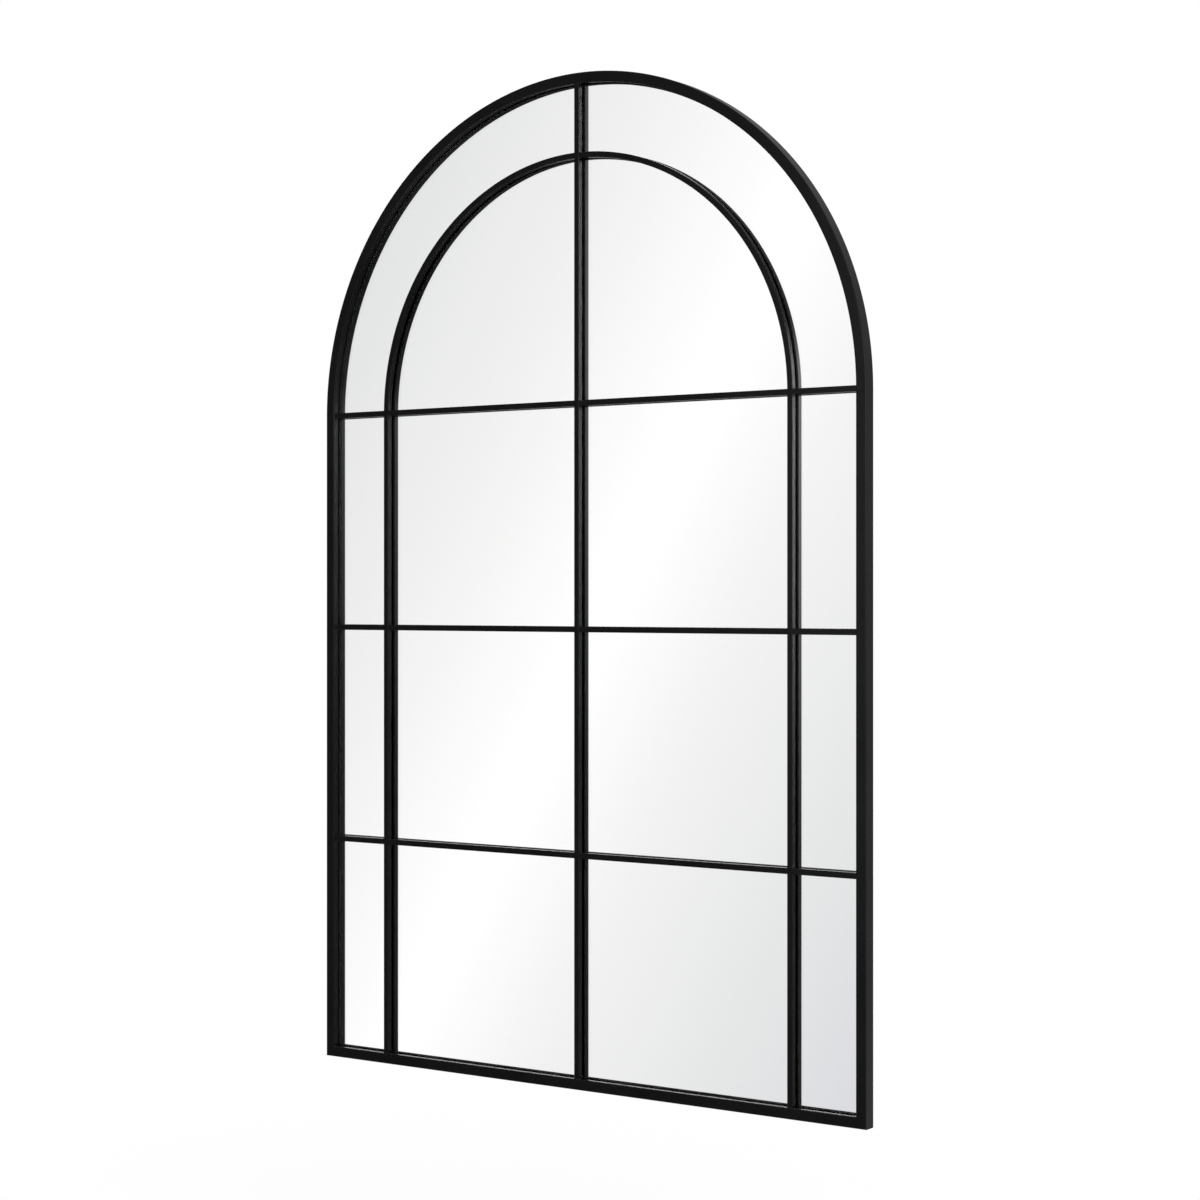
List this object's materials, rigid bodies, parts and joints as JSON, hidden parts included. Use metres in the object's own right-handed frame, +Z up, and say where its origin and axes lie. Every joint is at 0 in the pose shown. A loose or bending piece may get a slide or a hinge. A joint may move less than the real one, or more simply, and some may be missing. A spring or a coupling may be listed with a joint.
{
  "type": "wall mirror",
  "caption": "Arched wall mirror: black steel tube frame, half-lapped glazing bars over one mirror pane, screwed backing board, and swinging D-ring hangers behind.",
  "frame": {"origin": "the point on the wall midway between the pivots of the two D-rings: wall plane at Y = 0, pivots at Z = 0, mirror centred on X = 0", "axes": "+X to the viewer's right, +Y into the wall, +Z up; the mirror faces -Y"},
  "size_m": [0.914, 0.026, 1.4069],
  "materials": {
    "frame_paint": "satin black powder coat",
    "bar_paint": "satin black powder coat",
    "foam_tape": "matt closed-cell foam",
    "mirror": "clear float glass silvered behind",
    "board": "bare brown fibreboard",
    "block_rubber": "matt",
    "plate_zinc": "bright zinc plate",
    "screw_zinc": "bright zinc plate",
    "hanger_zinc": "bright zinc plate",
    "ring_zinc": "bright zinc plate",
    "bumper_rubber": "matt"
  },
  "bodies": {
    "mirror": {"left_stile": "frame_paint", "right_stile": "frame_paint", "bottom_rail": "frame_paint", "arch_head": "frame_paint", "centre_bar": "bar_paint", "left_bar": "bar_paint", "right_bar": "bar_paint", "lower_crossbar": "bar_paint", "middle_crossbar": "bar_paint", "upper_crossbar": "bar_paint", "inner_arch": "bar_paint", "centre_bar_tape": "foam_tape", "left_bar_tape": "foam_tape", "right_bar_tape": "foam_tape", "lower_crossbar_tape": "foam_tape", "middle_crossbar_tape": "foam_tape", "upper_crossbar_tape": "foam_tape", "inner_arch_tape": "foam_tape", "mirror_glass": "mirror", "backing_board": "board", "left_setting_block": "block_rubber", "right_setting_block": "block_rubber", "left_plate_1": "plate_zinc", "left_plate_2": "plate_zinc", "left_plate_3": "plate_zinc", "right_plate_1": "plate_zinc", "right_plate_2": "plate_zinc", "right_plate_3": "plate_zinc", "bottom_plate_1": "plate_zinc", "bottom_plate_2": "plate_zinc", "arch_plate_1": "plate_zinc", "arch_plate_2": "plate_zinc", "arch_plate_3": "plate_zinc", "arch_plate_4": "plate_zinc", "plate_screws": "screw_zinc", "hanger_screws": "screw_zinc", "left_hanger_strap": "hanger_zinc", "right_hanger_strap": "hanger_zinc", "left_bumper": "bumper_rubber", "right_bumper": "bumper_rubber"},
    "left_ring": {"left_d_ring": "ring_zinc"},
    "right_ring": {"right_d_ring": "ring_zinc"}
  },
  "joints": [
    {"name": "left_ring_swing", "type": "hinge", "parent": "mirror", "child": "left_ring", "pos_m": [-0.382, -0.00285, 0], "axis": [1, 0, 0], "range_deg": [0, 180]},
    {"name": "right_ring_swing", "type": "hinge", "parent": "mirror", "child": "right_ring", "pos_m": [0.382, -0.00285, 0], "axis": [1, 0, 0], "range_deg": [0, 180]}
  ]
}
